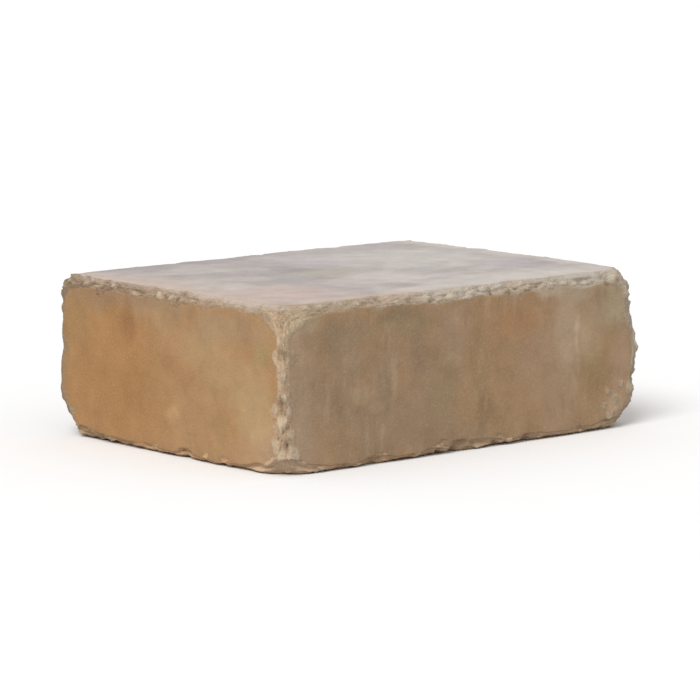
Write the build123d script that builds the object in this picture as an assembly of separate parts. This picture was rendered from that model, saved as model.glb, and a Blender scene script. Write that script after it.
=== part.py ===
from build123d import *
import os

# A tumbled concrete wall block, one solid piece. It is cast square in a mould and then
# turned in a drum, which wears its arrises and knocks its corners off.
# +X runs along the block, -Y is the long face that shows in the wall and +Z is up.
# The origin is the middle of the bed face that the block lies on. Sizes are in millimetres.

# The cast block
length = 293.0
width = 217.0
height = 100.0

# How hard the drum has worn it. The setback is how far the wear comes in from the sharp
# edge: on either face of an arris, and along the three arrises of a knocked corner.
# A spall is a hollow chip out of an arris, so deep below the sharp edge.
arris_setback = 8.0
corner_setback = 24.0
spall_length = 19.0
spall_depth = 5.2

# How a worn arris is rounded. Its arc goes this share of the setback in from both faces,
# and it starts this share of the setback outside them, so that it meets them at a crease.
arris_depth_share = 0.34
arris_reach_share = 1.25
arris_overrun_share = 0.08

# How round a knocked corner is, its ball's radius over the longest of its three setbacks,
# and how far a cutter stands out of the block
corner_roundness = 1.6
clear_of_block = 6.0

# Setbacks of each worn arris on its two faces, over the usual one, at even stations
# along the axis that it follows. An arris is named by the two faces that it lies between.
arris_wear = {
    ("front", "top"): ((1.1, 1.0), (0.75, 0.6), (1.1, 0.9), (0.75, 0.9), (1.0, 0.75), (1.25, 1.1)),
    ("front", "bed"): ((0.6, 1.1), (0.45, 0.6), (0.5, 0.9), (0.7, 0.75), (0.5, 0.6), (1.1, 1.5)),
    ("back", "top"): ((1.0, 1.1), (0.75, 0.6), (1.0, 1.0), (0.6, 0.75), (0.9, 0.75), (1.1, 1.1)),
    ("back", "bed"): ((1.5, 1.4), (0.9, 0.75), (0.6, 0.9), (1.0, 0.75), (0.75, 0.9), (1.1, 1.25)),
    ("left", "top"): ((0.75, 1.1), (0.6, 1.0), (0.75, 1.4), (0.6, 1.0), (1.0, 1.25)),
    ("left", "bed"): ((0.6, 1.1), (0.4, 0.6), (0.5, 0.9), (1.1, 1.25)),
    ("right", "top"): ((1.4, 1.4), (0.75, 0.75), (1.0, 0.9), (1.0, 1.1)),
    ("right", "bed"): ((1.5, 1.5), (0.75, 0.9), (0.9, 0.6), (1.1, 1.1)),
    ("front", "left"): ((1.5, 1.25), (0.9, 0.75), (0.6, 0.6), (1.0, 1.0)),
    ("front", "right"): ((1.75, 1.6), (1.25, 1.1), (0.6, 0.75), (1.75, 1.6), (2.6, 2.4)),
    ("back", "left"): ((1.6, 1.6), (0.75, 0.6), (0.9, 0.9), (1.1, 1.1)),
    ("back", "right"): ((1.25, 1.4), (0.9, 0.75), (1.0, 0.9), (1.1, 1.25)),
}

# Setbacks of each knocked corner along X, Y and Z, over the usual one
corner_wear = {
    ("left", "front", "bed"): (1.7, 1.9, 0.65),
    ("left", "front", "top"): (2.0, 0.8, 1.0),
    ("left", "back", "bed"): (1.25, 1.4, 1.8),
    ("left", "back", "top"): (0.8, 0.9, 0.7),
    ("right", "front", "bed"): (1.55, 1.6, 1.6),
    ("right", "front", "top"): (1.2, 1.2, 1.7),
    ("right", "back", "bed"): (1.0, 0.9, 1.1),
    ("right", "back", "top"): (0.95, 0.85, 0.65),
}

# Spalls on each arris: where along it as a share of its length, length and depth over
# the usual ones, and how far it leans from its first face (0) to its second (1)
spalls = {
    ("front", "top"): ((0.26, 1.1, 0.95, 0.6), (0.41, 0.9, 0.95, 0.4), (0.63, 1.15, 1.05, 0.7)),
    ("front", "bed"): ((0.24, 0.9, 0.9, 0.5), (0.47, 1.1, 1.0, 0.3), (0.67, 0.85, 0.95, 0.6)),
    ("back", "top"): ((0.31, 1.15, 1.0, 0.4), (0.76, 1.0, 0.95, 0.5)),
    ("back", "bed"): ((0.22, 0.95, 0.95, 0.6), (0.58, 1.3, 1.1, 0.4)),
    ("left", "top"): ((0.47, 1.15, 1.1, 0.6),),
    ("left", "bed"): ((0.42, 0.9, 0.75, 0.4),),
    ("right", "top"): ((0.40, 1.0, 1.0, 0.6),),
    ("right", "bed"): ((0.55, 1.15, 1.1, 0.5),),
    ("front", "left"): ((0.40, 0.85, 1.05, 0.6), (0.70, 0.7, 0.9, 0.7)),
    ("back", "left"): ((0.56, 0.95, 1.0, 0.6),),
    ("back", "right"): ((0.40, 1.1, 1.1, 0.4),),
}

# Each face: the axis that it is square to, and its side of the block
face_side = {
    "left": ("X", -1),
    "right": ("X", 1),
    "front": ("Y", -1),
    "back": ("Y", 1),
    "bed": ("Z", -1),
    "top": ("Z", 1),
}
axes = {"X": Vector(1, 0, 0), "Y": Vector(0, 1, 0), "Z": Vector(0, 0, 1)}
half_size = {"X": length / 2, "Y": width / 2, "Z": height / 2}
centre = axes["Z"] * half_size["Z"]


def outward(face):
    """Unit vector out of a face."""
    axis, side = face_side[face]
    return axes[axis] * side


def to_face(face):
    """Vector from the block's centre to the middle of a face."""
    return outward(face) * half_size[face_side[face][0]]


def arris_axis(first, second):
    """The axis that the arris between two faces follows."""
    return next(axis for axis in axes if axis not in (face_side[first][0], face_side[second][0]))


def arris_point(first, second, share):
    """Point on the sharp arris between two faces, at a share of its length."""
    axis = arris_axis(first, second)
    along = axes[axis] * half_size[axis] * (2 * share - 1)
    return centre + to_face(first) + to_face(second) + along


def wear_section(first, second, share, setbacks):
    """What the wear takes off an arris at one station: the area outside its worn arc."""
    on_first, on_second = (arris_setback * setback for setback in setbacks)
    in_first, in_second = -outward(second), -outward(first)
    plane = Plane(
        origin=arris_point(first, second, share),
        x_dir=in_first,
        z_dir=in_first.cross(in_second),
    )
    low = (on_first * arris_reach_share, -on_second * arris_overrun_share)
    deep = (on_first * arris_depth_share, on_second * arris_depth_share)
    high = (-on_first * arris_overrun_share, on_second * arris_reach_share)
    outside = (-clear_of_block, -clear_of_block)
    outline = ThreePointArc(low, deep, high) + Polyline(high, outside, low)
    return plane * make_face(outline)


def arris_cutter(first, second):
    """What an arris loses: a ruled loft from station to station, run on past both ends."""
    stations = arris_wear[first, second]
    run_on = clear_of_block / (2 * half_size[arris_axis(first, second)])
    step = 1 / (len(stations) - 1)
    shares = [step * k for k in range(len(stations))]
    shares[0] -= run_on
    shares[-1] += run_on
    sections = [wear_section(first, second, s, w) for s, w in zip(shares, stations)]
    return loft(sections, ruled=True)


def corner_cutter(faces):
    """What a corner loses: its own box, outside a ball through a point on each arris."""
    setbacks = [corner_setback * setback for setback in corner_wear[faces]]
    corner = centre + sum((to_face(face) for face in faces), Vector(0, 0, 0))
    inward = [-outward(face) for face in faces]
    points = [corner + way * far for way, far in zip(inward, setbacks)]
    knocked = Plane(Face(Wire.make_polygon(points, close=True)))
    middle = circle_centre(points)
    into_block = knocked.z_dir
    if into_block.dot(centre - middle) < 0:
        into_block = -into_block
    radius = max(setbacks) * corner_roundness
    drop = (radius**2 - (points[0] - middle).length ** 2) ** 0.5
    ball = Pos(middle + into_block * drop) * Sphere(radius)
    far_corner = corner + sum((w * s for w, s in zip(inward, setbacks)), Vector(0, 0, 0))
    near_corner = corner - sum((w * clear_of_block for w in inward), Vector(0, 0, 0))
    size = far_corner - near_corner
    box = Pos((near_corner + far_corner) / 2) * Box(abs(size.X), abs(size.Y), abs(size.Z))
    return box - ball


def circle_centre(points):
    """Centre of the circle through three points."""
    a, b, c = points
    ab, ac = b - a, c - a
    square = ab.cross(ac)
    to_centre = square.cross(ab) * ac.length**2 + ac.cross(square) * ab.length**2
    return a + to_centre / (2 * square.length**2)


def spall_cutter(first, second, share, length_ratio, depth_ratio, lean):
    """A ball that takes a hollow chip out of an arris."""
    half_chord = spall_length * length_ratio / 2
    deep = spall_depth * depth_ratio
    radius = (half_chord**2 + deep**2) / (2 * deep)
    way = (outward(first) * (1 - lean) + outward(second) * lean).normalized()
    return Pos(arris_point(first, second, share) + way * (radius - deep)) * Sphere(radius)


def make_block():
    """The cast block, less what its arrises, corners and spalls lose."""
    block = Pos(centre) * Box(length, width, height)
    for arris in arris_wear:
        block -= arris_cutter(*arris)
    for corner in corner_wear:
        block -= corner_cutter(corner)
    for arris, chips in spalls.items():
        for chip in chips:
            block -= spall_cutter(*arris, *chip)
    return block


wall_block = make_block()
os.makedirs("parts", exist_ok=True)
export_step(wall_block, "parts/wall_block.step")
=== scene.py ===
import math
import random

import bpy
import numpy as np
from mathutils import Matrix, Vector, noise
from mathutils.bvhtree import BVHTree


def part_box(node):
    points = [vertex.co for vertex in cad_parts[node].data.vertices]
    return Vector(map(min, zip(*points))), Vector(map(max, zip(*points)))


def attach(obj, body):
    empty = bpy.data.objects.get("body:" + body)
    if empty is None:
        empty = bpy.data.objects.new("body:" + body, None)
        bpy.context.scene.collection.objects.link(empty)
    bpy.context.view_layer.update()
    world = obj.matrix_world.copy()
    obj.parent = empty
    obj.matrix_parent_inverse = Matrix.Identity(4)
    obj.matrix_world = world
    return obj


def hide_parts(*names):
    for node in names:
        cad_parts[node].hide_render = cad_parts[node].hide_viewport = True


# The looks of a tumbled concrete wall block: its crumbled skin, its colour-blended
# concrete, a pale floor, soft light and the camera. Lengths are in metres.

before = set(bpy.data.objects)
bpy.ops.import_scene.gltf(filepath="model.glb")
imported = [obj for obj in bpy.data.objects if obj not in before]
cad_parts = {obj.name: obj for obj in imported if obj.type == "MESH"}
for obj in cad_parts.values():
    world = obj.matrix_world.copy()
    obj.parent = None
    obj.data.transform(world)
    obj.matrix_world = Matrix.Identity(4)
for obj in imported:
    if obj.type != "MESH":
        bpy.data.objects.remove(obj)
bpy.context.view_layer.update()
low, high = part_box("wall_block")
mm = 0.001
z_axis = 2

# Cells of the skin: close together beside the arrises, and growing to the middle of a face
fine_cell = 0.55 * mm
fine_band = 9 * mm
cell_growth = 1.17
broad_cell = 2.1 * mm

# The skin is cast outwards from a smaller box inside the block, this far in from each face
core_inset = 30 * mm

# Wear wanders along the arrises: size and reach of each layer, and the seed of the noise.
# Without a seed, the noise that moves a point about would be another one on each run.
wander = ((26 * mm, 2.2 * mm), (8 * mm, 1.1 * mm))
wander_seed = 11

# How deep under the sharp box the surface starts to look worn, and where it is all worn
wear_starts = 0.05 * mm
wear_full = 0.5 * mm

# A rubbed fringe runs on past the worn arris, as wide as this times the arris's own wear:
# on a side face beside an upright arris, below the top, above the bed, and on top and bed.
# It is never wider than fringe_most, and it lies a little lower than the cast face.
fringe_beside = 2.8
fringe_below = 2.1
fringe_above = 1.1
fringe_flat = 2.2
fringe_most = 17 * mm
fringe_sink = 0.4 * mm

# The fringe's border wanders: size and reach of each layer where the fringe is widest
fringe_wander = ((12 * mm, 4.0 * mm), (4 * mm, 2.4 * mm))

# Near a corner the fringes of two arrises add up. Each one counts as its width over the gap to
# its arris, to this power, and from the first sum to the second the face gets all rubbed.
fringe_power = 2.5
fringe_fade = (0.7, 2.3)
least_gap = 0.2 * mm

# Some stretches of arris crumble more than others: about how long they are, at which noise
# one is whole and at which all crumbly, and a shift that gives this noise a place of its own
stretch_size = 34 * mm
stretch_fade = (-0.3, 0.25)
stretch_shift = Vector((5, 2, 9))

# How strong the worn skin's relief is on the fringe, where the worn arris is 1, and the depths
# of wear between which it grows. Then how strong it is on a whole stretch, what a crumbly one
# adds, and the share that skin loses as it leans down, from the first lean to the second.
fringe_strength = 0.35
arris_fade = (0.1 * mm, 1.2 * mm)
whole_strength = 0.6
crumbly_gain = 0.6
underside_loss = 0.3
underside_fade = (0.1, 0.5)

# Relief of the cast faces: size and depth of each layer
face_waves = ((70 * mm, 0.25 * mm), (9 * mm, 0.12 * mm), (3.5 * mm, 0.07 * mm))

# Relief of the worn arrises: size and height of each layer, first swells and then lumps.
# Lumps are folded noise, less about its mean.
swells = ((13 * mm, 0.9 * mm), (6 * mm, 0.7 * mm))
lumps = ((5.2 * mm, 0.8 * mm), (2.4 * mm, 0.55 * mm))
lump_mean = 0.45

# Stones that stand out of the worn skin, and pits that others left. Both lie in the middles
# of random cells of this size, a share of which count, and reach so far out, in cells.
stone_size = 5.2 * mm
stone_height = 0.9 * mm
stone_share = 0.4
stone_reach = 0.55
stone_seed = 3
pit_size = 7.0 * mm
pit_depth = 0.8 * mm
pit_share = 0.22
pit_reach = 0.38
pit_seed = 11

# A cell is whole out to here from its middle, and its middle times this picks its random number
cell_core = 0.05
cell_scatter = 31.7

# Bold marks of the wear: where on the sharp box as shares of its size, radius in
# millimetres, and how far out it stands over its radius. A stone stands out and a pit lies in.
bold_marks = (
    # Down the near arris
    (0.0, 0.0, 0.84, 2.6, 0.30),
    (0.0, 0.0, 0.72, 1.8, -0.40),
    (0.0, 0.0, 0.60, 3.0, 0.30),
    (0.0, 0.0, 0.47, 3.2, 0.34),
    (0.0, 0.012, 0.33, 5.0, 0.22),
    (0.014, 0.0, 0.385, 3.0, 0.28),
    (0.012, 0.0, 0.29, 2.4, -0.45),
    (0.0, 0.014, 0.245, 2.6, 0.28),
    (0.022, 0.0, 0.25, 3.4, 0.24),
    (0.006, 0.0, 0.18, 2.2, -0.50),
    (0.0, 0.036, 0.18, 5.2, 0.24),
    (0.0, 0.01, 0.11, 5.0, 0.22),
    (0.03, 0.0, 0.135, 5.8, 0.24),
    (0.05, 0.0, 0.06, 3.0, 0.22),
    # Along the front's top arris
    (0.20, 0.0, 1.0, 3.0, 0.30),
    (0.305, 0.0, 0.96, 3.6, 0.34),
    (0.34, 0.0, 0.97, 2.6, -0.30),
    (0.385, 0.0, 0.965, 4.6, 0.36),
    (0.425, 0.0, 0.93, 2.4, -0.35),
    (0.455, 0.0, 0.96, 4.2, 0.36),
    (0.50, 0.0, 0.955, 3.6, 0.30),
    (0.555, 0.0, 0.98, 1.8, -0.50),
    (0.580, 0.0, 0.97, 1.8, -0.50),
    (0.610, 0.0, 0.97, 2.8, 0.34),
    (0.640, 0.0, 0.975, 2.2, -0.50),
    (0.670, 0.0, 0.965, 3.0, 0.34),
    (0.705, 0.0, 0.97, 2.4, -0.45),
    (0.735, 0.0, 0.95, 3.4, 0.34),
    (0.775, 0.0, 0.965, 3.0, 0.34),
    (0.805, 0.0, 0.955, 2.6, 0.30),
    (0.84, 0.0, 0.96, 3.2, 0.34),
    (0.875, 0.0, 0.90, 3.0, -0.25),
    (0.92, 0.0, 0.95, 4.2, 0.34),
    (0.96, 0.0, 0.86, 4.4, 0.30),
    # Along the end's top arris
    (0.0, 0.22, 1.0, 2.6, 0.34),
    (0.0, 0.26, 0.98, 1.8, -0.50),
    (0.0, 0.39, 0.97, 2.4, 0.34),
    (0.0, 0.46, 0.96, 3.2, -0.45),
    (0.0, 0.53, 0.97, 4.4, 0.30),
    (0.0, 0.64, 0.955, 3.6, 0.34),
    (0.0, 0.70, 0.97, 2.4, -0.40),
    (0.0, 0.87, 0.99, 2.6, 0.34),
    (0.0, 0.91, 0.98, 1.8, -0.50),
    (0.0, 0.95, 0.98, 2.4, 0.34),
    (0.0, 1.0, 1.0, 9.0, -0.25),
    # Down the far right arris to its foot
    (1.0, 0.0, 0.73, 2.6, 0.34),
    (1.0, 0.0, 0.50, 4.0, 0.34),
    (0.97, 0.0, 0.25, 4.6, 0.34),
    (0.93, 0.0, 0.12, 4.0, 0.34),
    (0.99, 0.0, 0.38, 2.6, -0.40),
    (0.945, 0.0, 0.28, 3.2, 0.24),
    (0.905, 0.0, 0.24, 3.4, 0.20),
    (0.93, 0.0, 0.19, 3.8, 0.24),
    (0.895, 0.0, 0.15, 2.8, 0.22),
    (0.91, 0.0, 0.085, 3.4, 0.24),
    (0.955, 0.0, 0.205, 2.0, -0.45),
    # Along the front's bed arris
    (0.10, 0.0, 0.0, 3.4, 0.30),
    (0.20, 0.0, 0.0, 3.0, 0.30),
    (0.36, 0.0, 0.0, 3.4, 0.30),
    (0.62, 0.0, 0.02, 3.0, 0.30),
)

# A bold mark's ragged border: size of the noise, and its reach over the mark's radius. The mark
# is whole and gone at these shares of its radius. A shallow groove rings it, from and deepest
# at these shares, out to bold_ring, and so deep over its height. A bold stone looks this pale,
# where 1 is all stone.
bold_ragged_size = 4 * mm
bold_ragged = 0.6
bold_fade = (0.5, 1.0)
groove_start = 0.8
groove_middle = 1.1
bold_ring = 1.5
bold_groove = 0.3
bold_paleness = 0.8

# Small chips knocked out along the arrises. A chip reaches chip_reach times its radius, and its
# ragged border changes that by chip_ragged either way. It looks worn from chip_bares deep.
chip_count = 110
chip_radius = (1.5 * mm, 4.2 * mm)
chip_depth = (0.5 * mm, 1.5 * mm)
chip_inward = 5 * mm
chip_reach = 1.4
chip_ragged = 0.9
chip_ragged_size = 2.5 * mm
chip_bares = 0.5 * mm
chip_seed = 7

# Depth under the neighbours at which a point counts as a hollow of 1
hollow_unit = 0.12 * mm


def grid_lines(start, end):
    """Grid lines from one face to the opposite one, closer together beside both."""
    edge = list(np.arange(0, fine_band, fine_cell))
    step = fine_cell * cell_growth
    while step < broad_cell:
        edge.append(edge[-1] + step)
        step *= cell_growth
    edge = np.array(edge)
    count = round((end - start - 2 * edge[-1]) / broad_cell)
    inner = np.linspace(start + edge[-1], end - edge[-1], count + 1)
    return np.concatenate([start + edge[:-1], inner, end - edge[-2::-1]])


def box_skin(lines):
    """Corner points and quads of a box's skin, cut by grid lines along X, Y and Z."""
    counts = [len(line) for line in lines]
    quads = []
    for axis in range(3):
        across, up = (axis + 1) % 3, (axis + 2) % 3
        u, v = np.meshgrid(range(counts[across] - 1), range(counts[up] - 1), indexing="ij")
        for side in (0, counts[axis] - 1):
            corners = []
            for right, above in ((0, 0), (1, 0), (1, 1), (0, 1)):
                place = [None] * 3
                place[axis] = np.full_like(u, side)
                place[across] = u + right
                place[up] = v + above
                corners.append(np.ravel_multi_index(place, counts).ravel())
            if side == 0:
                corners.reverse()
            quads.append(np.stack(corners, axis=1))
    used, index = np.unique(np.concatenate(quads), return_inverse=True)
    places = np.unravel_index(used, counts)
    points = np.stack([line[i] for line, i in zip(lines, places)], axis=1)
    return points, index.reshape(-1, 4)


def smooth(value, start, end):
    """0 below start, 1 above end and a smooth rise between them."""
    share = min(max((value - start) / (end - start), 0), 1)
    return share * share * (3 - 2 * share)


core_low = low + Vector((core_inset,) * 3)
core_high = high - Vector((core_inset,) * 3)
middle = (low + high) / 2


def way_out(point):
    """Where the line to a point of the sharp box leaves the core, and its direction."""
    start = Vector([min(max(p, a), b) for p, a, b in zip(point, core_low, core_high)])
    return start, (point - start).normalized()


def worn_depth(tree, point):
    """How deep the worn block lies under the sharp box, on the line to a point near it."""
    start, way = way_out(point)
    walls = [(b if w > 0 else a) for w, a, b in zip(way, low, high)]
    reach = min((wall - s) / w for wall, s, w in zip(walls, start, way) if w)
    found = tree.ray_cast(start, way)[3]
    return max(reach - found, 0)


def waves(point, layers):
    """Noise of several layers, each with its size and its reach either way."""
    return sum(noise.noise(point / size) * reach for size, reach in layers)


def fringe_ratio(point, face, other):
    """How wide the fringe is on a face beside its arris with another, over the arris's wear.

    Both faces are told by the axis that they are square to.
    """
    if face == z_axis:
        return fringe_flat
    if other != z_axis:
        return fringe_beside
    return fringe_below if point.z > middle.z else fringe_above


def rubbed(tree, point, stray):
    """How rubbed a face is at a point by its nearby arrises, from 0 to 1."""
    gaps = [min(p - a, b - p) for p, a, b in zip(point, low, high)]
    face, *others = sorted(range(3), key=gaps.__getitem__)
    nearness = 0.0
    for other in others:
        if gaps[other] > 2 * fringe_most:
            continue
        foot = point.copy()
        foot[other] = (low if point[other] < middle[other] else high)[other]
        wear = worn_depth(tree, foot + stray)
        width = min(wear * fringe_ratio(point, face, other), fringe_most)
        gap = gaps[other] + waves(point, fringe_wander) * width / fringe_most
        nearness += (width / max(gap, least_gap)) ** fringe_power
    return smooth(nearness, *fringe_fade)


marks = [
    (Vector([a + share * (b - a) for share, a, b in zip(shares, low, high)]), radius * mm, rise)
    for *shares, radius, rise in bold_marks
]


def bold(point):
    """What the bold marks near a point do to it: its rise, how much it is a stone, or a ring."""
    rise, stone, ring = 0.0, 0.0, 0.0
    for place, radius, height in marks:
        away = (point - place).length
        if away > bold_ring * radius:
            continue
        away /= radius * (1 + bold_ragged * noise.noise(point / bold_ragged_size))
        swell = 1 - smooth(away, *bold_fade)
        rim = smooth(away, groove_start, groove_middle)
        rim *= 1 - smooth(away, groove_middle, bold_ring)
        rise += height * radius * (swell - bold_groove * rim)
        if height > 0:
            stone, ring = max(stone, swell), max(ring, rim)
    return rise, stone, ring


def cells(point, size, share, reach, seed):
    """How near a point is to the middle of a random cell, from 1 to 0. Only a share count."""
    distances, middles = noise.voronoi(point / size + Vector((seed,) * 3))
    if noise.cell(middles[0] * cell_scatter) * 0.5 + 0.5 > share:
        return 0.0
    return 1 - smooth(distances[0], cell_core, reach)


def roughness(point, stray):
    """How far the worn skin stands out or in at a point, and how much of that is a stone."""
    out = waves(point, swells)
    out += sum((abs(noise.noise(point / size)) * 2 - lump_mean) * rise for size, rise in lumps)
    stone = cells(point + stray, stone_size, stone_share, stone_reach, stone_seed)
    pit = cells(point, pit_size, pit_share, pit_reach, pit_seed)
    return out + stone * stone_height - pit * pit_depth, stone


def sculpt(tree, point):
    """A point of the sharp box moved in to the worn skin, and how worn and stony it is there."""
    strays = [noise.noise_vector(point / size) * reach for size, reach in wander]
    stray = sum(strays, Vector())
    depth = worn_depth(tree, point + stray)
    rise, bold_stone, ring = bold(point)
    wear = max(smooth(depth, wear_starts, wear_full), rubbed(tree, point, strays[0]), bold_stone)
    relief = sum((noise.noise(point / size) * 0.5 + 0.5) * deep for size, deep in face_waves)
    start, way = way_out(point)
    stone = 0.0
    if wear > 0:
        rough, stone = roughness(point, stray)
        crumbly = smooth(noise.noise(point / stretch_size + stretch_shift), *stretch_fade)
        strength = fringe_strength + (1 - fringe_strength) * smooth(depth, *arris_fade)
        strength *= whole_strength + crumbly_gain * crumbly
        strength *= 1 - underside_loss * smooth(-way.z, *underside_fade)
        stone = max(stone * crumbly * (1 - ring), bold_paleness * bold_stone)
        relief += wear * (fringe_sink - rough * strength - rise)
    reach = (point - start).length - max(depth + relief, 0)
    return start + way * reach, wear, stone * wear


def chips():
    """Random chips along the arrises: place, radius and depth of each."""
    draw = random.Random(chip_seed)
    size = high - low
    made = []
    for _ in range(chip_count):
        axis = draw.choices((0, 1, 2), weights=size)[0]
        place = Vector([draw.choice((a, b)) for a, b in zip(low, high)])
        place[axis] = low[axis] + draw.random() * size[axis]
        for other in {0, 1, 2} - {axis}:
            inward = math.copysign(1, middle[other] - place[other])
            place[other] += inward * draw.uniform(0, chip_inward)
        share = draw.random() ** 2
        radius, depth = (a + share * (b - a) for a, b in (chip_radius, chip_depth))
        made.append((place, radius, depth))
    return made


def knock_chips(places, ways):
    """Scoops the chips out of the skin, and says how far each point went."""
    sunk = np.zeros(len(places))
    ragged = np.array([noise.noise(Vector(p) / chip_ragged_size) for p in places])
    for place, radius, depth in chips():
        away = np.linalg.norm(places - np.array(place), axis=1)
        near = away < radius * (chip_reach + chip_ragged)
        share = away[near] / (radius * (chip_reach + chip_ragged * ragged[near]))
        sunk[near] = np.maximum(sunk[near], depth * (1 - np.clip(share, 0, 1) ** 3))
    return places - ways * sunk[:, None], sunk


def hollowness(places, quads, normals):
    """How far each point lies under the mean of its neighbours, along its normal."""
    total = np.zeros_like(places)
    count = np.zeros(len(places))
    for k in range(4):
        a, b = quads[:, k], quads[:, (k + 1) % 4]
        for here, there in ((a, b), (b, a)):
            np.add.at(total, here, places[there])
            np.add.at(count, here, 1)
    return np.einsum("ij,ij->i", total / count[:, None] - places, normals)


def spread(values, quads):
    """Each point's value averaged with those of its neighbours."""
    total = np.zeros_like(values)
    count = np.zeros(len(values))
    mean = values[quads].mean(axis=1)
    for corner in quads.T:
        np.add.at(total, corner, mean)
        np.add.at(count, corner, 1)
    return total / count


def make_block(material):
    """The whole block as one closed mesh, with what its material needs to know."""
    noise.seed_set(wander_seed)
    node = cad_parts["wall_block"]
    tree = BVHTree.FromPolygons(
        [v.co for v in node.data.vertices], [p.vertices for p in node.data.polygons]
    )
    points, quads = box_skin([grid_lines(low[k], high[k]) for k in range(3)])
    sculpted = zip(*[sculpt(tree, Vector(p)) for p in points])
    places, wear, stone = [np.array(values) for values in sculpted]
    ways = np.array([way_out(Vector(p))[1] for p in points])
    places, sunk = knock_chips(places, ways)
    wear = np.maximum(wear, np.clip(sunk / chip_bares, 0, 1))

    mesh = bpy.data.meshes.new("tumbled_block")
    mesh.from_pydata(places, [], quads)
    mesh.polygons.foreach_set("use_smooth", [True] * len(quads))
    mesh.materials.append(material)
    normals = np.zeros(len(places) * 3)
    mesh.vertex_normals.foreach_get("vector", normals)
    hollow = hollowness(places, quads, normals.reshape(-1, 3))
    hollow = spread(hollow, quads) / hollow_unit
    for name, values in (("wear", wear), ("stone", stone), ("hollow", hollow)):
        layer = mesh.attributes.new(name, "FLOAT", "POINT")
        layer.data.foreach_set("value", values)
    layer = mesh.attributes.new("facing", "FLOAT_VECTOR", "POINT")
    layer.data.foreach_set("vector", ways.ravel())
    block = bpy.data.objects.new("tumbled_block", mesh)
    bpy.context.scene.collection.objects.link(block)
    return block


def srgb(red, green, blue):
    """A linear colour from red, green and blue as a screen shows them, 0 to 255."""
    shares = [c / 255 for c in (red, green, blue)]
    return [s / 12.92 if s <= 0.04045 else ((s + 0.055) / 1.055) ** 2.4 for s in shares] + [1]


# Each side and each worn arris catches its own share of the light, so a colour written as
# it shows there is lifted by this much
lift = {
    "end": 1.12,
    "front": 1.25,
    "top": 0.95,
    "end top": 1.0,
    "front top": 1.05,
    "upright": 1.18,
    "right": 1.3,
    "bed": 2.1,
}


def shown(side, red, green, blue):
    """The colour that shows as red, green and blue on a side of the block."""
    return [c * lift[side] for c in srgb(red, green, blue)[:3]] + [1]


# The concrete's colours: cast sides, the top, and what the wear lays bare
greyish_brown = shown("front", 149, 124, 98)
warm_brown = shown("front", 157, 127, 96)
ochre = shown("end", 170, 129, 88)
yellow_tan = shown("end", 174, 138, 97)
pale_top = shown("top", 194, 185, 179)
grey_top = shown("top", 178, 170, 168)
worn_brown = srgb(168, 144, 116)
rim_dust = shown("top", 207, 187, 172)
rim_white = shown("top", 207, 199, 190)
pale_streak = shown("front", 168, 143, 116)
dark_streak = shown("front", 134, 110, 84)
pale_sand = srgb(222, 208, 186)
dark_sand = srgb(110, 88, 64)
# The pale of the stones, also painted on the high points as a highlight, and the dark of the
# hollows, which is dirt and painted shade
pale_stone_and_highlight = srgb(214, 198, 172)
pit_dirt_and_shade = srgb(108, 88, 64)

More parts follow.
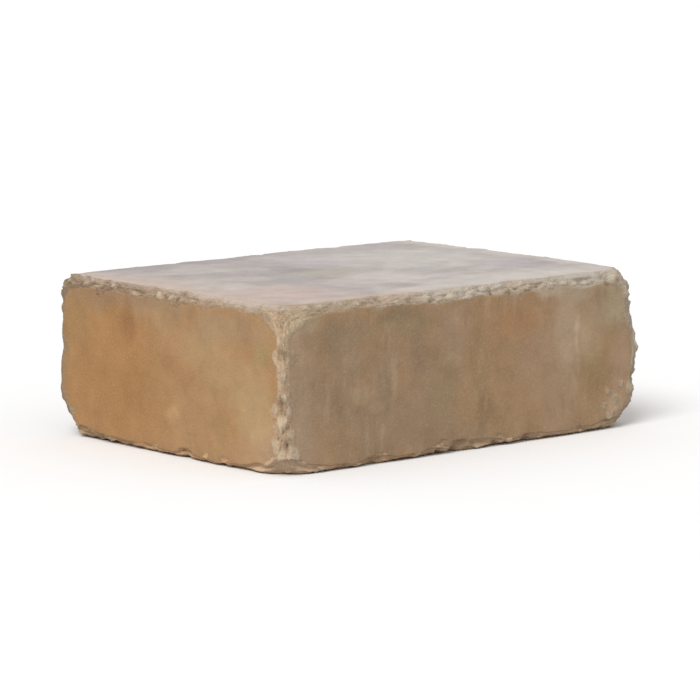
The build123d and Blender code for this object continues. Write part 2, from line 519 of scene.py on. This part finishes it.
# Soft tints of each cast side: where as shares of it, their reach across and up it in
# millimetres, the colour that shows, and its strength
tints = {
    "end": (
        (0.76, 0.45, 60, 66, (169, 125, 80), 0.9),
        (0.91, 0.78, 18, 24, (164, 128, 84), 0.7),
        (0.67, 0.76, 9, 13, (152, 110, 70), 0.8),
        (0.66, 0.89, 7, 6, (152, 116, 78), 0.6),
        (0.59, 0.90, 14, 8, (184, 148, 110), 0.6),
        (0.50, 0.83, 18, 11, (177, 147, 108), 0.6),
        (0.36, 0.69, 26, 15, (178, 149, 109), 0.6),
        (0.22, 0.54, 24, 17, (180, 150, 108), 0.6),
        (0.12, 0.34, 22, 32, (182, 152, 111), 0.85),
        (0.23, 0.83, 38, 12, (167, 139, 108), 0.7),
        (0.09, 0.70, 11, 10, (165, 142, 98), 0.7),
        (0.46, 0.69, 14, 9, (180, 138, 102), 0.4),
        (0.47, 0.27, 10, 6, (188, 151, 108), 0.7),
        (0.26, 0.23, 6, 10, (162, 131, 86), 0.5),
        (0.12, 0.10, 28, 10, (182, 144, 110), 0.6),
        # Painted shade: this darker band beside the back upright arris stands for the shade where
        # it turns from the light
        (0.98, 0.55, 8, 60, (150, 122, 88), 0.6),
        (0.06, 0.16, 16, 16, (183, 153, 120), 0.6),
        (0.55, 0.92, 42, 9, (158, 129, 100), 0.8),
        (0.82, 0.92, 40, 10, (155, 124, 94), 0.8),
    ),
    "front": (
        (0.03, 0.50, 17, 50, (158, 134, 109), 0.9),
        (0.04, 0.15, 22, 20, (161, 136, 111), 0.8),
        (0.05, 0.91, 16, 10, (168, 151, 124), 0.6),
        (0.16, 0.80, 30, 11, (140, 119, 93), 0.7),
        (0.33, 0.83, 28, 10, (143, 124, 95), 0.6),
        (0.30, 0.88, 18, 6, (132, 112, 86), 0.7),
        (0.19, 0.64, 9, 6, (160, 136, 110), 0.5),
        (0.20, 0.43, 14, 5, (166, 143, 112), 0.6),
        (0.29, 0.50, 3.5, 15, (168, 144, 117), 0.7),
        (0.25, 0.36, 8, 4, (164, 142, 110), 0.6),
        (0.36, 0.66, 9, 20, (141, 118, 94), 0.5),
        (0.46, 0.76, 15, 17, (159, 132, 107), 0.6),
        (0.43, 0.40, 13, 26, (149, 128, 96), 0.6),
        (0.46, 0.57, 6, 5, (168, 142, 114), 0.5),
        (0.53, 0.52, 9, 26, (146, 121, 89), 0.5),
        (0.65, 0.77, 36, 16, (162, 123, 86), 0.7),
        (0.55, 0.25, 9, 13, (132, 108, 79), 0.7),
        (0.70, 0.48, 22, 26, (162, 133, 107), 0.5),
        (0.75, 0.13, 15, 11, (168, 139, 115), 0.5),
        (0.78, 0.50, 26, 46, (161, 135, 107), 0.7),
        (0.79, 0.65, 13, 26, (170, 147, 121), 0.8),
        (0.85, 0.60, 12, 22, (174, 148, 118), 0.6),
        (0.815, 0.68, 4, 6, (184, 162, 136), 0.8),
        (0.815, 0.56, 2.4, 7, (182, 158, 130), 0.8),
        (0.813, 0.43, 2, 5, (176, 151, 122), 0.6),
        (0.845, 0.61, 4, 6, (173, 149, 122), 0.5),
        (0.86, 0.38, 16, 13, (147, 120, 84), 0.7),
        (0.91, 0.60, 9, 13, (158, 128, 94), 0.5),
        (0.93, 0.80, 20, 17, (163, 146, 117), 0.8),
        (0.88, 0.87, 8, 6, (143, 124, 92), 0.7),
        (0.81, 0.90, 17, 9, (168, 149, 126), 0.8),
        (0.735, 0.93, 16, 6, (176, 159, 138), 0.8),
        (0.94, 0.38, 10, 22, (169, 139, 112), 0.7),
        (0.93, 0.14, 12, 10, (178, 154, 126), 0.6),
    ),
    "top": (
        (0.13, 0.42, 20, 19, (212, 205, 198), 0.7),
        (0.14, 0.24, 44, 44, (204, 184, 176), 0.9),
        (0.43, 0.50, 34, 30, (182, 175, 158), 0.5),
        (0.30, 0.97, 80, 16, (172, 164, 164), 0.8),
        (0.42, 0.80, 30, 22, (174, 166, 166), 0.6),
        (0.06, 0.66, 30, 64, (201, 186, 176), 0.8),
        (0.40, 0.62, 20, 12, (168, 158, 157), 0.6),
        (0.55, 0.76, 30, 32, (193, 187, 192), 0.5),
        (0.50, 0.30, 32, 38, (212, 204, 199), 0.7),
        (0.42, 0.17, 18, 14, (175, 165, 164), 0.5),
        (0.74, 0.62, 70, 70, (202, 196, 191), 0.8),
        (0.86, 0.35, 28, 28, (184, 180, 185), 0.5),
        (0.38, 0.05, 24, 14, (218, 212, 202), 0.8),
        (0.70, 0.10, 80, 26, (207, 200, 193), 0.9),
    ),
}

# A tint fades this far into the block behind its own face
tint_depth = 16 * mm

# A tint is whole out to the first of these shares of its reach, and gone at the second
tint_fade = (0.3, 1.3)

# Noise moves tints and bared colours about: its size and its reach
tint_wander = (15 * mm, 7 * mm)
bare_wander = (8 * mm, 5 * mm)

# Sizes of the cast faces' patterns: patches of the sides and of the top, streaks and the
# places where they run, and clouds
side_patch = 45 * mm
top_patch = 30 * mm
streak_width = 6 * mm
streak_place = 34 * mm
cloud_size = 14 * mm

# Dust along the top's rims: whole and gone at these distances from the edge, its border's
# noise and reach, and where along X it turns from its left colour to its right one
rim_fade = (8 * mm, 26 * mm)
rim_wander = (16 * mm, 24 * mm)
rim_turn = (-50 * mm, -10 * mm)

# Sizes of the worn skin's patterns: its ragged border, and drifts of dust from the top
ragged_size = 3 * mm
drift_size = 9 * mm

# Sand grains, and the fine relief that is too small for the mesh
grain_size = 1.2 * mm
fine_size = 1.0 * mm
medium_size = 2.6 * mm
relief_height = 0.6 * mm

# What the wear lays bare from place to place: where as shares of the block's size, its
# reach along X, Y and Z in millimetres, whose light it lies in, and the colour that shows
bare_tints = (
    (0.0, 0.14, 1.0, 14, 60, 14, "end top", (171, 149, 124)),
    (0.0, 0.50, 1.0, 16, 44, 16, "end top", (153, 129, 105)),
    (0.0, 0.86, 1.0, 18, 60, 18, "end top", (131, 108, 86)),
    # Painted shade: the back upright arris is given a darker colour for the shade where it turns
    # from the light
    (0.0, 1.0, 0.5, 14, 14, 70, "upright", (148, 124, 98)),
    (0.0, 1.0, 1.0, 18, 18, 18, "end top", (134, 118, 98)),
    (0.0, 0.03, 0.62, 6, 11, 56, "upright", (190, 165, 135)),
    (0.0, 0.06, 0.18, 6, 22, 22, "upright", (182, 154, 124)),
    (0.035, 0.0, 0.50, 16, 6, 46, "upright", (160, 137, 113)),
    (0.035, 0.0, 0.18, 20, 6, 24, "upright", (172, 147, 122)),
    (0.045, 0.0, 0.93, 18, 8, 16, "upright", (166, 149, 122)),
    (0.15, 0.0, 1.0, 26, 12, 12, "front top", (162, 146, 122)),
    (0.31, 0.0, 1.0, 30, 12, 14, "front top", (174, 156, 137)),
    (0.52, 0.0, 1.0, 50, 14, 16, "front top", (184, 173, 158)),
    (0.84, 0.0, 1.0, 60, 14, 18, "front top", (180, 170, 155)),
    (0.02, 0.22, 1.0, 9, 56, 4, "end top", (196, 180, 168)),
    (0.565, 0.0, 0.955, 3, 6, 5, "front top", (130, 111, 90)),
    (0.61, 0.0, 0.945, 3, 6, 6, "front top", (122, 102, 80)),
    (0.665, 0.0, 0.93, 4, 6, 6, "front top", (124, 108, 86)),
    (0.90, 0.0, 0.91, 4, 6, 4, "front top", (134, 116, 94)),
    (1.0, 0.0, 0.85, 16, 18, 26, "right", (170, 160, 144)),
    (1.0, 0.0, 0.50, 14, 16, 34, "right", (166, 153, 136)),
    (0.97, 0.0, 0.12, 26, 16, 24, "right", (170, 154, 132)),
    (0.915, 0.0, 0.18, 18, 8, 24, "right", (142, 118, 92)),
    (0.30, 0.0, 0.0, 130, 10, 10, "bed", (148, 122, 97)),
    (0.75, 0.0, 0.0, 90, 10, 10, "bed", (150, 127, 104)),
    (0.0, 0.45, 0.0, 10, 120, 10, "bed", (164, 132, 100)),
    (0.0, 0.0, 0.0, 34, 34, 12, "bed", (168, 144, 120)),
)


class Paint:
    """Builds a material's nodes. Places are in the object's own coordinates."""

    def __init__(self, name):
        self.material = bpy.data.materials.new(name)
        self.material.use_nodes = True
        self.tree = self.material.node_tree
        self.tree.nodes.clear()

    def node(self, kind, inputs=None, **settings):
        """A new node with its settings, and its inputs linked or set."""
        made = self.tree.nodes.new(kind)
        for name, value in settings.items():
            setattr(made, name, value)
        for key, value in (inputs or {}).items():
            if isinstance(value, bpy.types.NodeSocket):
                self.tree.links.new(value, made.inputs[key])
            else:
                made.inputs[key].default_value = value
        return made

    def math(self, operation, *values):
        """Arithmetic on numbers."""
        return self.node("ShaderNodeMath", dict(enumerate(values)), operation=operation).outputs[0]

    def vector(self, operation, *values):
        """Arithmetic on vectors."""
        made = self.node("ShaderNodeVectorMath", dict(enumerate(values)), operation=operation)
        return made.outputs["Value" if operation == "LENGTH" else "Vector"]

    def attribute(self, name, output="Fac"):
        """What the mesh stores at each point under a name."""
        return self.node("ShaderNodeAttribute", attribute_name=name).outputs[output]

    def noise(self, place, size, detail=2.0, roughness=0.5, stretch=(1, 1, 1)):
        """Noise of about that size, stretched by a factor along each axis."""
        scale = [1 / (size * s) for s in stretch]
        inputs = {"Vector": self.vector("MULTIPLY", place, scale), "Scale": 1.0}
        inputs.update({"Detail": detail, "Roughness": roughness})
        return self.node("ShaderNodeTexNoise", inputs).outputs["Fac"]

    def rise(self, value, start, end, low_end=0.0, high_end=1.0):
        """A smooth rise from low_end to high_end as value goes from start to end."""
        inputs = {0: value, 1: start, 2: end, 3: low_end, 4: high_end}
        made = self.node("ShaderNodeMapRange", inputs, interpolation_type="SMOOTHSTEP")
        return made.outputs[0]

    def mix(self, share, first, second, blend="MIX"):
        """The first colour, with a share of the second over it."""
        made = self.node(
            "ShaderNodeMix", {0: share, 6: first, 7: second}, data_type="RGBA", blend_type=blend
        )
        return made.outputs[2]


def tint_box(side, across, up, reach, rise):
    """The middle of a side's tint and its reach along X, Y and Z."""
    size = high - low
    reach, rise = reach * mm, rise * mm
    if side == "end":
        return (low.x, low.y + across * size.y, low.z + up * size.z), (tint_depth, reach, rise)
    if side == "front":
        return (low.x + across * size.x, low.y, low.z + up * size.z), (reach, tint_depth, rise)
    return (low.x + across * size.x, low.y + up * size.y, high.z), (reach, rise, tint_depth)


def nearby(paint, place, centre, reaches, strength):
    """How much a soft tint shows at a place: strength in its middle and 0 outside."""
    away = paint.vector("DIVIDE", paint.vector("SUBTRACT", place, centre), reaches)
    whole, gone = tint_fade
    return paint.rise(paint.vector("LENGTH", away), gone, whole, 0.0, strength)


def astray(paint, place, size, reach):
    """A place moved about by noise, so that what is drawn there gets ragged borders."""
    stray = paint.node("ShaderNodeTexNoise", {"Vector": place, "Scale": 1 / size, "Detail": 3.0})
    stray = paint.vector("SUBTRACT", stray.outputs["Color"], [0.5] * 3)
    return paint.vector("ADD", place, paint.vector("MULTIPLY", stray, [2 * reach] * 3))


def tinted(paint, colour, place, masks):
    """The colour with the soft tints laid over it, each on its own side of the block."""
    place = astray(paint, place, *tint_wander)
    for side, rows in tints.items():
        for *box, tint, strength in rows:
            share = nearby(paint, place, *tint_box(side, *box), strength)
            share = paint.math("MULTIPLY", share, masks[side])
            colour = paint.mix(share, colour, shown(side, *tint))
    return colour


def bared(paint, place):
    """The colour that the wear lays bare, which changes from arris to arris."""
    place = astray(paint, place, *bare_wander)
    colour = worn_brown
    for *shares, reach_x, reach_y, reach_z, light, tint in bare_tints:
        centre = [a + share * (b - a) for share, a, b in zip(shares, low, high)]
        reaches = [reach * mm for reach in (reach_x, reach_y, reach_z)]
        colour = paint.mix(nearby(paint, place, centre, reaches, 1.0), colour, shown(light, *tint))
    return colour


def cast_colour(paint, place, end, top):
    """The cast faces: sides blended in soft patches, a dusty top, tints, streaks and clouds."""
    broad = paint.noise(place, side_patch, 3, 0.55, (1, 1, 1.5))
    sides = paint.mix(paint.rise(broad, 0.40, 0.60), greyish_brown, warm_brown)
    ends = paint.mix(paint.rise(broad, 0.38, 0.62), ochre, yellow_tan)
    colour = paint.mix(end, sides, ends)
    patch = paint.noise(place, top_patch, 4, 0.6, (1.6, 1, 1))
    colour = paint.mix(top, colour, paint.mix(paint.rise(patch, 0.40, 0.60), pale_top, grey_top))
    long_side = paint.math("SUBTRACT", 1.0, paint.math("MAXIMUM", end, top))
    colour = tinted(paint, colour, place, {"end": end, "front": long_side, "top": top})

    # Dust lies along the top's rims, but for the back one
    where = paint.node("ShaderNodeSeparateXYZ", {0: place})
    from_ends = paint.math("SUBTRACT", high.x, paint.math("ABSOLUTE", where.outputs[0]))
    from_front = paint.math("SUBTRACT", where.outputs[1], low.y)
    size, reach = rim_wander
    wobble = paint.math("SUBTRACT", paint.noise(place, size, 3), 0.5)
    wobble = paint.math("MULTIPLY", wobble, reach)
    rim = paint.math("ADD", paint.math("MINIMUM", from_ends, from_front), wobble)
    whole, gone = rim_fade
    rim = paint.rise(rim, gone, whole, 0.0, 0.8)
    dust = paint.mix(paint.rise(where.outputs[0], *rim_turn), rim_dust, rim_white)
    colour = paint.mix(paint.math("MULTIPLY", rim, top), colour, dust)

    # Streaks run down the sides in places, and are weaker on the ends
    calm = paint.math("MAXIMUM", paint.math("MULTIPLY", end, 0.8), top)
    upright = paint.math("SUBTRACT", 1.0, calm)
    places = paint.rise(paint.noise(place, streak_place, 2), 0.42, 0.60)
    shows = paint.math("MULTIPLY", upright, places)
    streak = paint.noise(place, streak_width, 3, 0.55, (1, 1, 4))
    pale = paint.math("MULTIPLY", shows, paint.rise(streak, 0.52, 0.70, 0.0, 0.45))
    dark = paint.math("MULTIPLY", shows, paint.rise(streak, 0.47, 0.30, 0.0, 0.35))
    colour = paint.mix(pale, colour, pale_streak)
    colour = paint.mix(dark, colour, dark_streak)

    # Clouds, a little paler and darker
    cloud = paint.noise(place, cloud_size, 4, 0.55)
    paler = paint.mix(1.0, colour, [1.08, 1.08, 1.09, 1], "MULTIPLY")
    darker = paint.mix(1.0, colour, [0.92, 0.91, 0.90, 1], "MULTIPLY")
    colour = paint.mix(paint.rise(cloud, 0.50, 0.68), colour, paler)
    return paint.mix(paint.rise(cloud, 0.50, 0.32), colour, darker), cloud


def make_concrete():
    """Colour-blended concrete: cast faces, a dusty top, crumbled arrises, stones and pits."""
    paint = Paint("tumbled_concrete")
    place = paint.node("ShaderNodeTexCoord").outputs["Object"]
    wear = paint.attribute("wear")
    stone = paint.attribute("stone")
    hollow = paint.attribute("hollow")
    facing = paint.node("ShaderNodeSeparateXYZ", {0: paint.attribute("facing", "Vector")})
    endward = paint.math("ABSOLUTE", facing.outputs[0])
    upward = facing.outputs[2]
    end = paint.rise(endward, 0.55, 0.85)
    top = paint.rise(upward, 0.6, 0.85)
    colour, cloud = cast_colour(paint, place, end, top)

    # Wear lays the paste bare, with the top's dust on what faces up
    ragged = paint.rise(paint.noise(place, ragged_size, 3, 0.65), 0.25, 0.75, -0.35, 0.35)
    bare = paint.rise(paint.math("ADD", wear, ragged), 0.25, 0.75)
    drift = paint.math("SUBTRACT", paint.noise(place, drift_size, 3, 0.6), 0.5)
    drift = paint.math("MULTIPLY", drift, 0.6)
    dusty = paint.rise(paint.math("ADD", upward, drift), 0.70, 0.86, 0.85, 0.3)
    colour = paint.mix(paint.math("MULTIPLY", bare, dusty), colour, bared(paint, place))
    colour = paint.mix(paint.math("MULTIPLY", stone, 0.5), colour, pale_stone_and_highlight)

    # Sand grains, stronger where the skin is worn
    grain = paint.noise(place, grain_size, 2, 0.75)
    strength = paint.rise(wear, 0, 1, 0.35, 0.9)
    dark = paint.math("MULTIPLY", strength, paint.rise(grain, 0.54, 0.72, 0.0, 0.5))
    pale = paint.math("MULTIPLY", strength, paint.rise(grain, 0.46, 0.28, 0.0, 0.5))
    colour = paint.mix(pale, paint.mix(dark, colour, dark_sand), pale_sand)

    # Dirt and painted shade darken the hollows, and the high points are rubbed pale with a painted
    # highlight
    colour = paint.mix(paint.rise(hollow, 0.3, 2.2, 0.0, 0.55), colour, pit_dirt_and_shade)
    colour = paint.mix(paint.rise(hollow, -0.3, -2.0, 0.0, 0.4), colour, pale_stone_and_highlight)

    # Fine relief, stronger where the skin is worn
    fine = paint.noise(place, fine_size, 2, 0.6)
    medium = paint.noise(place, medium_size, 3, 0.6)
    height = paint.math("ADD", paint.math("MULTIPLY", fine, 0.6), medium)
    height = paint.math("MULTIPLY", height, paint.rise(wear, 0, 1, 0.35, 1.0))
    bump = paint.node("ShaderNodeBump", {"Height": height, "Distance": relief_height})
    inputs = {
        "Base Color": colour,
        "Roughness": paint.rise(cloud, 0.3, 0.7, 0.86, 0.96),
        "Specular IOR Level": 0.3,
        "Normal": bump.outputs[0],
    }
    surface = paint.node("ShaderNodeBsdfPrincipled", inputs)
    paint.node("ShaderNodeOutputMaterial", {"Surface": surface.outputs[0]})
    return paint.material


# The floor: how far it reaches each way, how white it looks, and how much of the light it
# throws back at the block
floor_reach = 30.0
floor_seen = 0.97
floor_bounce = 0.5

# The light: the sky's strength, and the sun's strength, the way to it and its width
sky_light = 0.62
sun_light = 0.583 * math.pi
sun_way = Vector((-0.35, -0.18, 0.43))
sun_spread = math.radians(30)


def make_floor():
    """A level white floor that keeps the block's shadow."""
    paint = Paint("floor")
    seen = paint.node("ShaderNodeLightPath").outputs["Is Camera Ray"]
    colour = paint.mix(seen, [floor_bounce] * 3 + [1], [floor_seen] * 3 + [1])
    surface = paint.node("ShaderNodeBsdfDiffuse", {"Color": colour})
    paint.node("ShaderNodeOutputMaterial", {"Surface": surface.outputs[0]})
    mesh = bpy.data.meshes.new("floor")
    ways = ((-1, -1), (1, -1), (1, 1), (-1, 1))
    corners = [(x * floor_reach, y * floor_reach, low.z) for x, y in ways]
    mesh.from_pydata(corners, [], [(0, 1, 2, 3)])
    mesh.materials.append(paint.material)
    floor = bpy.data.objects.new("floor", mesh)
    bpy.context.scene.collection.objects.link(floor)


def make_light():
    """An even sky, and a broad soft light from above, left and in front."""
    world = bpy.data.worlds.new("sky")
    bpy.context.scene.world = world
    world.use_nodes = True
    nodes, links = world.node_tree.nodes, world.node_tree.links
    background = nodes["Background"]
    background.inputs["Color"].default_value = (1, 1, 1, 1)
    path = nodes.new("ShaderNodeLightPath")
    strength = nodes.new("ShaderNodeMapRange")
    strength.inputs["To Min"].default_value = sky_light
    links.new(path.outputs["Is Camera Ray"], strength.inputs["Value"])
    links.new(strength.outputs[0], background.inputs["Strength"])
    lamp = bpy.data.lights.new("soft_light", "SUN")
    lamp.energy = sun_light
    lamp.angle = sun_spread
    sun = bpy.data.objects.new("soft_light", lamp)
    sun.rotation_euler = sun_way.to_track_quat("Z", "Y").to_euler()
    bpy.context.scene.collection.objects.link(sun)


# The camera stands where the photograph was taken from, seen from this block. Its lens and
# its sensor are in millimetres, and it sees past the floor's corners.
camera_place = Vector((-1.5822, -1.8023, 0.3945))
camera_lens = 200
camera_sensor = 36
camera_sight = 200


def make_camera():
    """The camera, aimed at the block's middle."""
    data = bpy.data.cameras.new("camera")
    data.lens = camera_lens
    data.sensor_width = camera_sensor
    data.clip_end = camera_sight
    camera = bpy.data.objects.new("camera", data)
    camera.location = camera_place
    camera.rotation_euler = (middle - camera_place).to_track_quat("-Z", "Y").to_euler()
    bpy.context.scene.collection.objects.link(camera)
    bpy.context.scene.camera = camera


block = make_block(make_concrete())
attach(block, "root")
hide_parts("wall_block")
make_floor()
make_light()
make_camera()
bpy.context.scene.view_settings.view_transform = "Standard"
